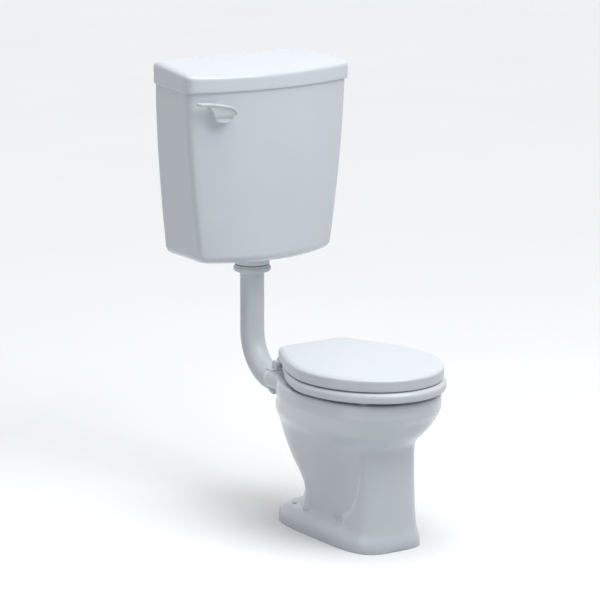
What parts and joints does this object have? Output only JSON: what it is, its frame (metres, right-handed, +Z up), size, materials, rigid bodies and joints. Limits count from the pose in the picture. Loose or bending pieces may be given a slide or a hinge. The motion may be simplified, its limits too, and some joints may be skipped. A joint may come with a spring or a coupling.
{
  "type": "two-piece toilet",
  "caption": "White floor-standing toilet pan with seat and lid, joined by a flush bend to a low-level lever cistern behind it.",
  "frame": {"origin": "centre of the pan's floor outlet, at floor level", "axes": "+Z up, the pan faces -Y, the wall is towards +Y, +X is the right side seen from the front"},
  "size_m": [0.4993, 0.811, 1.096],
  "materials": {
    "glaze": "gloss",
    "seat_white": "gloss",
    "fitting_white": "satin",
    "seal_rubber": "matte",
    "steel": "satin",
    "float_orange": "matte"
  },
  "bodies": {
    "base": {"pan": "glaze", "hinge_posts": "fitting_white", "hinge_pins": "steel", "hinge_studs": "steel", "hinge_washers": "seal_rubber", "hinge_wing_nuts": "fitting_white", "flush_pipe": "fitting_white", "flush_cone": "fitting_white", "pipe_nut": "fitting_white", "pipe_seal": "seal_rubber", "siphon_backnut": "fitting_white", "siphon_washer": "seal_rubber", "siphon_body": "fitting_white", "cistern": "glaze", "lever_bush": "fitting_white", "lever_washer": "seal_rubber", "lever_nut": "fitting_white", "valve_body": "fitting_white", "valve_washers": "seal_rubber", "valve_backnut": "fitting_white", "valve_diaphragm": "seal_rubber", "valve_cap": "fitting_white", "valve_outlet": "fitting_white", "float_pin": "steel"},
    "seat": {"seat_ring": "seat_white", "ring_buffers": "fitting_white"},
    "lid": {"seat_lid": "seat_white", "lid_buffers": "fitting_white"},
    "cover": {"cistern_lid": "glaze"},
    "lever": {"lever_handle": "seat_white", "lever_spindle": "steel", "lever_arm": "fitting_white", "lever_screw": "steel"},
    "lift": {"lift_rod": "steel", "lift_link": "fitting_white", "link_pins": "steel", "siphon_plate": "fitting_white", "siphon_flap": "seal_rubber", "plate_nut": "steel"},
    "float": {"float_arm": "fitting_white", "float_ball": "float_orange", "float_nut": "fitting_white"},
    "plunger": {"valve_plunger": "fitting_white"}
  },
  "joints": [
    {"name": "lid_hinge", "type": "hinge", "parent": "base", "child": "lid", "pos_m": [0, 0.128, 0.385], "axis": [-1, 0, 0], "range_deg": [0, 94]},
    {"name": "seat_hinge", "type": "hinge", "parent": "base", "child": "seat", "pos_m": [0, 0.128, 0.385], "axis": [-1, 0, 0], "range_deg": [0, 90]},
    {"name": "cover_lift", "type": "slide", "parent": "base", "child": "cover", "axis": [0, 0, 1], "range_m": [0, 0.15]},
    {"name": "lever_turn", "type": "hinge", "parent": "base", "child": "lever", "pos_m": [-0.162, 0.356, 0.994], "axis": [0, -1, 0], "range_deg": [0, 40]},
    {"name": "siphon_lift", "type": "slide", "parent": "base", "child": "lift", "axis": [0, 0, 1], "range_m": [0, 0.0675]},
    {"name": "float_swing", "type": "hinge", "parent": "base", "child": "float", "pos_m": [0.125, 0.414, 0.953], "axis": [0, 1, 0], "range_deg": [0, 40]},
    {"name": "plunger_push", "type": "slide", "parent": "base", "child": "plunger", "axis": [1, 0, 0], "range_m": [0, 0.0083]}
  ],
  "couplings": [
    {"joint": "seat_hinge", "follows": "lid_hinge", "ratio": 0.95},
    {"joint": "siphon_lift", "follows": "lever_turn", "m_per_rad": 0.095928},
    {"joint": "plunger_push", "follows": "float_swing", "m_per_rad": 0.011758}
  ]
}
